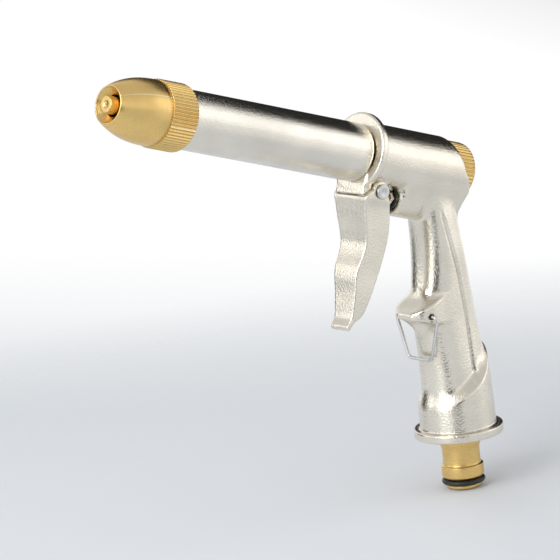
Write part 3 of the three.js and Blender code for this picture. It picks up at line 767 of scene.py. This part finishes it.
finish_cad_nodes()
make_casting()
make_trigger()
make_tube()
make_head()
make_core()
make_knob()
make_connector()
make_o_ring()
make_pin()
make_clip()
make_spring()


# ---- the studio, in metres ------------------------------------------------------------------

camera_azimuth, camera_elevation, camera_roll = 42.6, 12.95, -5.72   # in degrees


def make_floor():
    """A pale round floor that fades out, so that it meets the pale surround with no edge."""
    radius, rings, sides, height = 0.5, 24, 96, -0.0004
    points = []
    for k in range(1, rings + 1):
        ring_radius = radius * (k / rings)
        for i in range(sides):
            angle = i * 2 * math.pi / sides
            points.append((ring_radius * math.cos(angle), ring_radius * math.sin(angle), height))
    faces = [tuple(range(sides))]
    for start in range(0, (rings - 1) * sides, sides):
        for i in range(sides):
            j = (i + 1) % sides
            faces.append((start + i, start + sides + i, start + sides + j, start + j))
    mesh = bpy.data.meshes.new("floor")
    mesh.from_pydata(points, [], faces)
    floor = bpy.data.objects.new("floor", mesh)
    bpy.context.scene.collection.objects.link(floor)
    material, tree, shader = start_material("pale_floor", Roughness=0.6)
    place = add(tree, "ShaderNodeTexCoord").outputs["Object"]
    distance = add(tree, "ShaderNodeVectorMath", {0: place}, operation="LENGTH").outputs["Value"]
    tint = ramp(tree, distance, [(0.05, (0.76, 0.79, 0.83)), (0.4, (0.79, 0.82, 0.85))])
    tree.links.new(tint, shader.inputs["Base Color"])
    tree.links.new(ramp(tree, distance, [(0.15, 1.0), (0.38, 0.0)]), shader.inputs["Alpha"])
    mesh.materials.append(material)


def direction(azimuth, elevation):
    """Unit vector; azimuth is in degrees from +Y towards +X."""
    a, e = math.radians(azimuth), math.radians(elevation)
    return Vector((math.sin(a) * math.cos(e), math.cos(a) * math.cos(e), math.sin(e)))


def camera_axes():
    """The camera's right, up and back directions."""
    azimuth, roll = math.radians(camera_azimuth), math.radians(camera_roll)
    back = direction(camera_azimuth, camera_elevation)
    level = Vector((-math.cos(azimuth), math.sin(azimuth), 0))
    upward = back.cross(level)
    right = math.cos(roll) * level + math.sin(roll) * upward
    up = math.cos(roll) * upward - math.sin(roll) * level
    return right, up, back


def facing(tree, ray, toward):
    """The cosine between the way that a ray leaves and a direction."""
    return add(tree, "ShaderNodeVectorMath", {0: ray, 1: toward}, operation="DOT_PRODUCT").outputs["Value"]


def make_surround():
    """A studio that is white above and grey below, with dark flags where metal needs a dark reflection."""
    world = bpy.data.worlds.new("studio")
    bpy.context.scene.world = world
    world.use_nodes = True
    tree = world.node_tree
    ray = add(tree, "ShaderNodeTexCoord").outputs["Generated"]
    steepness, middle = 10.0, 0.5   # so the whole ramp lies within a cosine of 0.05 of level
    rising = facing(tree, ray, camera_axes()[1])
    level = add(tree, "ShaderNodeMath", {0: rising, 1: steepness, 2: middle},
                operation="MULTIPLY_ADD").outputs["Value"]
    colour = ramp(tree, level, [
        (0.0, (0.72, 0.755, 0.79)), (0.22, (0.66, 0.70, 0.74)), (0.36, (0.8, 0.82, 0.84)),
        (0.47, (0.92, 0.93, 0.94)), (0.6, (1.0, 1.0, 1.0))])
    patches = [  # azimuth, elevation, cosine where it starts and where it is full, brightness
        (0, 90, 0.3, 0.8, 0.65),
        (-48, -11, 0.91, 0.97, 0.98),
        (-128, 11, 0.927, 0.956, 0.02),
        (-112, 19, 0.927, 0.956, 0.02),
        (-93, 25, 0.956, 0.972, 0.02),
        (-52, 12, 0.93, 0.975, 1.4),
        (80, 14, 0.9, 0.95, 2.0),
        (134, 16, 0.95, 0.98, 1.5),
        (40, 4, 0.951, 0.975, 0.05),
        (160, 3, 0.951, 0.975, 0.05),
    ]
    for azimuth, elevation, start, full, bright in patches:
        near = facing(tree, ray, direction(azimuth, elevation))
        share = ramp(tree, near, [(start, 0.0), (full, 1.0)])
        colour = mix(tree, share, colour, (bright, bright, bright, 1))
    background = tree.nodes["Background"]
    tree.links.new(colour, background.inputs["Color"])
    background.inputs["Strength"].default_value = 1.0


def add_softbox(name, azimuth, elevation, distance, size, power):
    """A square lamp that faces the middle of the object from that distance."""
    lamp = bpy.data.lights.new(name, "AREA")
    lamp.shape = "SQUARE"
    lamp.size = size
    lamp.energy = power
    softbox = bpy.data.objects.new(name, lamp)
    bpy.context.scene.collection.objects.link(softbox)
    aim = Vector((0.02, 0, 0.09))
    toward = direction(azimuth, elevation)
    softbox.location = aim + toward * distance
    softbox.rotation_euler = toward.to_track_quat("Z", "Y").to_euler()


def make_camera():
    """A long lens that sees the front and one side, aimed off the connector's axis to take in the tube."""
    distance, lens = 1.567, 270.97
    aside, above = -0.0615, 0.00625
    right, up, back = camera_axes()
    centre = Vector((0, 0, 0.07284))
    place = centre + back * distance
    aim = centre + right * aside + up * above
    depth = (place - aim).normalized()
    right = up.cross(depth).normalized()
    up = depth.cross(right)
    data = bpy.data.cameras.new("camera")
    data.lens = lens
    data.clip_start, data.clip_end = 0.01, 20
    camera = bpy.data.objects.new("camera", data)
    bpy.context.scene.collection.objects.link(camera)
    camera.matrix_world = Matrix.Translation(place) @ Matrix((right, up, depth)).transposed().to_4x4()
    bpy.context.scene.camera = camera


make_floor()
make_surround()
add_softbox("key_light", azimuth=85, elevation=38, distance=0.9, size=0.5, power=3)
make_camera()
bpy.context.scene.view_settings.view_transform = "Standard"
